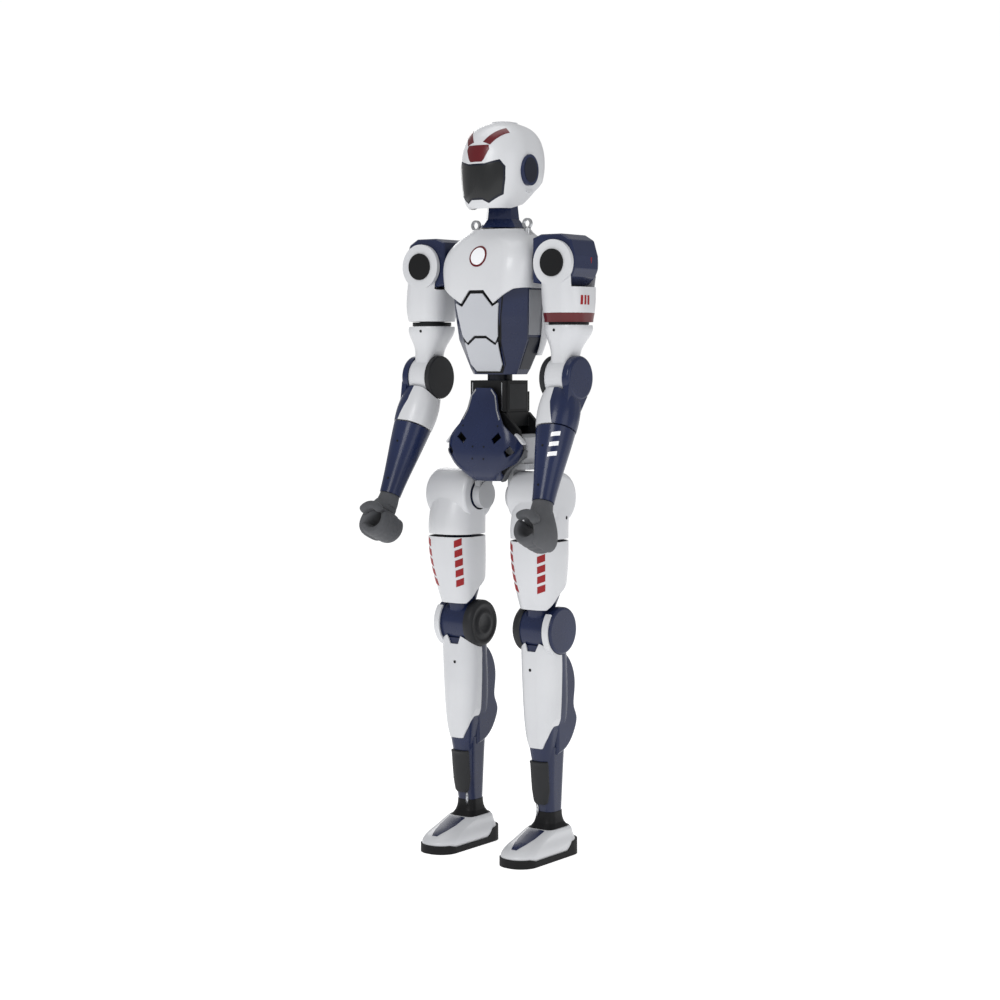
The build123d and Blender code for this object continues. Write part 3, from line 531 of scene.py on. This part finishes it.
# ---------------------------------------------------------------- chest and abdomen
patch("lamp_ring", disc_outline(24), mm(0, 0, 1398), X, Z, ["chest_shell"], RED, "torso", thick=1.0, cell=6)
patch("lamp_face", disc_outline(19.5), mm(0, 0, 1398), X, Z, ["chest_shell"], LIGHT, "torso", thick=1.9, cell=6,
      soft=0.7)
half = [(22, 1327), (46, 1297), (66, 1310), (64, 1290), (54.5, 1214), (52, 1200), (49, 1151), (37, 1131)]
front_patch("abdomen_gap", half + [(-x, z) for x, z in reversed(half)], 1, ["abdomen_shell"], BLACK, "torso",
            thick=0.8, cell=14, soft=0.2)
for side, m in SIDES:
    # The flank panel's darker grey is partly painted shade.
    side_patch(f"{side}_flank_panel", [(-33, 1322), (38, 1322), (34, 1219), (-24, 1219), (-27, 1262)], 80, m,
               ["abdomen_shell"], SHADED_FLANK_GREY, "torso", thick=1.4, cell=12, soft=0.7)
    # The lower flank patch in navy_shadow is painted shade on the navy side of the abdomen.
    side_patch(f"{side}_flank_lower", [(-22, 1213), (30, 1213), (22, 1140), (-17, 1140)], 60, m, ["abdomen_shell"],
               DEEP, "torso", thick=1.0, cell=12, soft=0.6)

# ---------------------------------------------------------------- arms
FORE = Matrix.Translation(mm(197, -18, 1120)) @ Matrix.Rotation(math.radians(-23.4), 4, "X") @ Matrix.Rotation(
    math.radians(-4.5), 4, "Y")


def fore(x, y, z, side):
    """A point in the forearm's own frame, in millimetres."""
    return flip(FORE @ Vector((x / 1000, y / 1000, z / 1000)), side)


def fore_dir(v, side):
    return flip(FORE.to_3x3() @ Vector(v), side)


side_patch("left_pod_dash", [(16, 1393), (21, 1393), (19, 1380), (18, 1380)], 200, 1, ["left_shoulder_pod"], SIGNAL,
           "left_shoulder", thick=0.5, cell=5, soft=0.15)
for k in range(3):
    y = -30 + 12 * k
    side_patch(f"left_arm_bar_{k}", [(y - 4, 1286), (y + 3, 1286), (y + 5, 1307), (y - 2, 1307)], 200, 1,
               ["left_upper_arm_shell"], SIGNAL, "left_upper_arm", thick=0.5, cell=5, soft=0.15)
sleeve("left_arm_band", [(1247, 198, -5, 102.0, 102.0, 39), (1253, 198, -5, 102.4, 102.4, 39),
                         (1268, 198, -5, 107.2, 107.2, 40.5)], 1.4, RED, "left_upper_arm")
for side, m in SIDES:
    turned(f"{side}_yaw_seal", [(43, 0.8), (45.6, 0.8), (46, 1.6), (46, 8.6), (45.6, 9.4), (43, 9.4)],
           mm(m * 198, -5, 1240.6), Z, BLACK, f"{side}_elbow", 64)
    screw(f"{side}_elbow_screw", mm(m * 192, 0, 1229), Y, [f"{side}_elbow_housing"], f"{side}_elbow")
    for k, depth in enumerate((-178, -268)):
        screw(f"{side}_forearm_screw_{k}", fore(-2, 0, depth, m), fore_dir((0, 1, 0), m),
              [f"{side}_forearm_shell"], f"{side}_forearm", 2.8)
for k in range(3):
    bar = [(-10, -8), (10, -2), (10, 8), (-10, 2)]
    patch(f"left_forearm_bar_{k}", bar, fore(0, 0, -150 - 23 * k, 1), fore_dir((0.8, 0.6, 0), 1),
          fore_dir((0, 0, 1), 1), ["left_forearm_shell"], LIGHT, "left_forearm", thick=0.5, cell=5, soft=0.15)

# ---------------------------------------------------------------- hands
GRIP = (-6, -372)  # the middle of the grip tunnel, in the forearm's frame


def around_grip(angle, radius, y, side):
    t = math.radians(angle)
    return fore(GRIP[0] + radius * math.cos(t), y, GRIP[1] + radius * math.sin(t), side)


def curled_fingers(name, side, m):
    """Four fingers in one mitten round the grip tunnel, with shallow grooves between them."""
    bm = bmesh.new()
    rings = []
    steps = 26
    for i in range(steps + 1):
        f = i / steps
        angle = -30 - 194 * f
        close = math.sin(math.pi * min(f, 1 - f) / 0.12) if min(f, 1 - f) < 0.06 else 1.0
        close = max(close, 0.25)
        half_wide = (41.5 - 3.5 * f) * (0.82 + 0.18 * close)
        thick = (11.5 - 2.4 * f) * (0.45 + 0.55 * close)
        middle = 18.6 + 11.0 - 1.6 * f
        ring = []
        for k in range(64):
            t = 2 * math.pi * k / 64
            c, s = math.cos(t), math.sin(t)
            across = math.copysign(abs(c) ** 0.62, c)
            out = math.copysign(abs(s) ** 0.62, s)
            groove = sum(math.exp(-((across - g) / 0.05) ** 2) for g in (-0.5, 0.0, 0.5)) if out > 0 else 0.0
            radius = middle + thick * out * (1 - 0.16 * groove * close)
            ring.append(bm.verts.new(around_grip(angle, radius, half_wide * across, side)))
        rings.append(ring)
    for a, b in zip(rings, rings[1:]):
        for k in range(64):
            j = (k + 1) % 64
            bm.faces.new((a[k], a[j], b[j], b[k]))
    for ring in (rings[0], rings[-1]):
        bm.faces.new(ring)
    obj = link(name, bm, RUBBER, f"{m}_fingers")
    sub = obj.modifiers.new("smooth", "SUBSURF")
    sub.levels = 1
    sub.render_levels = 1
    return obj


PALM = ((0, -322, 25, 24), (3, -332, 31, 23), (9, -344, 37, 20), (16, -356, 41, 16.5), (21, -370, 42.5, 13.5),
        (24, -384, 42.5, 12), (22, -396, 40.5, 11.5), (15, -404, 37, 11))
THUMB = ((26, 30, 13, 11.5), (46, 30, 13, 11), (66, 29.5, 12.6, 10.6), (86, 29, 12.2, 10.2), (106, 28.6, 11.8, 9.8),
         (128, 28.2, 11.4, 9.4))
WEB = ((10, 29.5, 38, 9), (32, 29, 38, 8.6), (56, 28, 37, 8), (80, 27.2, 36, 7.4), (104, 26.8, 35, 7),
       (128, 26.4, 33, 6.4))
for side, m in SIDES:
    wide = fore_dir((0, 1, 0), m)
    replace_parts(curled_fingers(f"{side}_mitten", m, side), f"{side}_hand_fingers")
    path = [fore(x, 0, z, m) for x, z, _, _ in PALM]
    sizes = [(half_y, half_x) for _, _, half_y, half_x in PALM]
    path, sizes = with_round_ends(path, sizes, 0.4)
    palm = swept(f"{side}_palm", path, wide, sizes, RUBBER, f"{side}_hand", 2.8, 28, 1)
    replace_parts(palm, f"{side}_hand_palm")
    path = [around_grip(angle, radius, 1, m) for angle, radius, _, _ in WEB]
    path, sizes = with_round_ends(path, [(half_y, half_r) for _, _, half_y, half_r in WEB])
    swept(f"{side}_thumb_web", path, wide, sizes, RUBBER, f"{side}_hand", 3.0)
    path = [around_grip(angle, radius, -47, m) for angle, radius, _, _ in THUMB]
    sizes = [(half_y, half_r) for _, _, half_y, half_r in THUMB]
    path, sizes = with_round_ends(path, sizes)
    thumb = swept(f"{side}_thumb_piece", path, wide, sizes, RUBBER, f"{side}_thumb", 2.6)
    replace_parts(thumb, f"{side}_hand_thumb")
    axis = fore_dir((0, 0, -1), m)
    cuff = turned(f"{side}_wrist_cuff", [(20, 0.6), (22.8, 0.6), (23.4, 2), (24, 8), (25, 16), (25.6, 24), (25.2, 30),
                                         (22, 30), (21, 16), (20, 6)], fore(0, 0, -300, m), axis, RUBBER, None, 48)
    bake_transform(cuff)

# ---------------------------------------------------------------- pelvis
for side, m in SIDES:
    rim = ((39, -39, 882, 9), (47, -41, 890, 9), (57, -45, 907, 8), (80, -49, 922, 6), (106, -50, 938, 6),
           (110, -49, 954, 6))
    path = [mm(m * x, y, z) for x, y, z, _ in rim]
    path, sizes = with_round_ends(path, [(w, 3.2) for _, _, _, w in rim])
    swept(f"{side}_hip_rim", path, Y, sizes, RIM, "pelvis", 4)
    plate(f"{side}_hip_gusset", [(28, 884), (41, 884), (57, 907), (108, 938), (109, 955), (95, 955), (62, 932),
                                 (28, 912)], m, -46, -41, RIM, "pelvis")
    corner = ((88, 991, 7.5), (98, 982, 8), (110, 970, 7.5))
    path = [mm(m * x, -56, z) for x, z, _ in corner]
    path, sizes = with_round_ends(path, [(w, 3.0) for _, _, w in corner])
    swept(f"{side}_hip_corner", path, Y, sizes, PEARL, "pelvis", 4)
    # A thin steel strip along the cover's top edge: a painted highlight.
    front_patch(f"{side}_cover_edge_highlight", [(23, 1095), (35, 1080), (43, 1047), (54, 1025), (51, 1023), (40, 1046),
                                       (32, 1079), (21, 1092)], m, ["pelvis_cover"], STEEL_AND_HIGHLIGHT, "pelvis", thick=0.6,
                cell=10, soft=0.2)
    for k, (x, z) in enumerate(((16, 962), (16, 934), (50, 1010))):
        screw(f"{side}_cover_screw_{k}", mm(m * x, -60, z), Y, ["pelvis_cover"], "pelvis", 2.2)
    # The steel strip on the waist housing's front corner is a painted highlight.
    front_patch(f"{side}_waist_edge_highlight", [(41, 1044), (43.2, 1044), (43.2, 1108), (41, 1110)], m, ["waist_housing"],
                STEEL_AND_HIGHLIGHT, "pelvis", thick=0.5, cell=12, soft=0.2)
    side_patch(f"{side}_waist_side", [(-36, 1048), (30, 1048), (30, 1106), (-36, 1106)], 30, m, ["waist_housing"],
               CHARCOAL, "pelvis", thick=0.8, cell=14, soft=0.4)
    screw(f"{side}_waist_screw", mm(m * 60, 6, 1078), -X * m, ["waist_housing"], "pelvis", 2.8)

# ---------------------------------------------------------------- legs
for side, m in SIDES:
    for column in (-1, 1):
        turn = Matrix.Rotation(math.radians(column * 37), 3, "Z") @ X
        for k in range(5):
            centre = mm(m * (119.5 - 0.6 * k), -6 + 1.4 * k, 733 - k * 23.6)
            face = [(-9.2, -11.8), (9.2, -4.8), (9.2, 11.8), (-9.2, 4.8)]
            if column < 0:
                face = [(-x, z) for x, z in reversed(face)]
            patch(f"{side}_dash_{'outer' if column > 0 else 'inner'}_{k}", face, centre, turn, Z,
                  [f"{side}_thigh_shell_lower"], SIGNAL, f"{side}_thigh", thick=0.6, cell=6, soft=0.15)
    screw(f"{side}_thigh_screw", mm(m * 120, 12, 800), -X * m, [f"{side}_thigh_shell_upper"], f"{side}_thigh", 4)
    screw(f"{side}_shin_screw", mm(m * 110, 0, 446), Y, [f"{side}_shin_shell"], f"{side}_shin", 3.6)
    turned(f"{side}_inner_disc", [(50, 0.5), (55.4, 0.5), (55.8, 1.2), (55.8, 15), (54, 19.6), (50, 23.4), (43, 23.8),
                                  (41.5, 22.2), (31, 22.2), (29.5, 25), (21, 25), (19, 23.2), (0.02, 23.2)],
           mm(m * 83, 18, 537), -X * m, CHARCOAL, f"{side}_shin", 64)
    front_patch(f"{side}_ankle_plate", [(93, 231), (139, 231), (138, 160), (133, 132), (127, 127), (105, 127),
                                        (99, 132), (94, 160)], m, [f"{side}_calf_shell"], CHARCOAL, f"{side}_shin",
                thick=6.5, cell=8, soft=2.0)
    turned(f"{side}_push_rod", [(0.02, 0), (3.2, 0.3), (3.2, 34), (0.02, 34.3)], mm(m * 104, 8, 96), Z, STEEL_AND_HIGHLIGHT,
           f"{side}_shin", 20)
    patch(f"{side}_instep", [(-23, -15), (23, -15), (21, -50), (15, -80), (7, -103), (-7, -103), (-15, -80),
                             (-21, -50)][::-1],
          mm(m * 116, 0, 0), X, Y, [f"{side}_foot_shell"], NAVY, f"{side}_foot", thick=1.2, cell=6, soft=0.8)
    lower = sleeve(f"{side}_boot_lower", [(66, m * 116, 36.5, 71, 88, 21), (70, m * 116, 36.5, 70, 87, 21),
                                          (75, m * 116, 36.5, 64, 77, 21), (82, m * 116, 36.8, 57, 67, 20)], 3, BLACK,
                   None)
    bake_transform(lower)
    upper = sleeve(f"{side}_boot_upper", [(81, m * 116, 36.8, 58, 68, 20), (90, m * 116, 37, 54, 61, 19.5),
                                          (99, m * 116, 37, 52, 58, 19), (108, m * 116, 37, 51.6, 57, 19)], 1.2,
                   BLACK, None)
    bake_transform(upper)


# ---------------------------------------------------------------- stage
FLOOR_REACH = 30
FLOOR_GAP = 0.0005  # keeps the floor just under the soles
FLOOR_GLOW = 0.80
WORLD_AS_LIGHT = 0.42
WORLD_SEEN = 1.02
LAMP_AIM_HEIGHT = 0.95


def add_stage():
    mesh = bpy.data.meshes.new("floor")
    bm = bmesh.new()
    bmesh.ops.create_grid(bm, x_segments=1, y_segments=1, size=FLOOR_REACH)
    bm.to_mesh(mesh)
    bm.free()
    floor = bpy.data.objects.new("floor", mesh)
    bpy.context.scene.collection.objects.link(floor)
    floor.location.z = cad_low[2] - FLOOR_GAP
    m = bpy.data.materials.new("floor")
    m.use_nodes = True
    bsdf = m.node_tree.nodes["Principled BSDF"]
    bsdf.inputs["Base Color"].default_value = (0.62, 0.62, 0.625, 1)
    bsdf.inputs["Roughness"].default_value = 0.9
    bsdf.inputs["Emission Color"].default_value = (1.0, 1.0, 1.0, 1)
    bsdf.inputs["Emission Strength"].default_value = FLOOR_GLOW
    dress(floor, m)
    # The backdrop is white where the camera sees it, and dimmer as a source of light.
    world = bpy.data.worlds.new("studio")
    world.use_nodes = True
    nt = world.node_tree
    back = nt.nodes["Background"]
    back.inputs["Color"].default_value = (1.0, 1.0, 1.0, 1)
    path = nt.nodes.new("ShaderNodeLightPath")
    span = nt.nodes.new("ShaderNodeMapRange")
    span.inputs["To Min"].default_value = WORLD_AS_LIGHT
    span.inputs["To Max"].default_value = WORLD_SEEN
    nt.links.new(path.outputs["Is Camera Ray"], span.inputs["Value"])
    nt.links.new(span.outputs["Result"], back.inputs["Strength"])
    bpy.context.scene.world = world
    bpy.context.scene.view_settings.view_transform = "Standard"
    for label, place, power, size in (
        ("key", (0.6, -4.4, 3.6), 74, 2.0),
        ("fill", (4.4, -0.8, 2.0), 26, 2.6),
        ("top", (-0.6, 0.2, 4.4), 34, 2.4),
        ("rim", (-3.2, 2.6, 2.4), 24, 1.8),
    ):
        data = bpy.data.lights.new(label, "AREA")
        data.energy = power
        data.size = size
        lamp = bpy.data.objects.new(label, data)
        bpy.context.scene.collection.objects.link(lamp)
        lamp.location = place
        lamp.rotation_euler = (Vector((0, 0, LAMP_AIM_HEIGHT)) - Vector(place)).to_track_quat("-Z", "Y").to_euler()


add_stage()
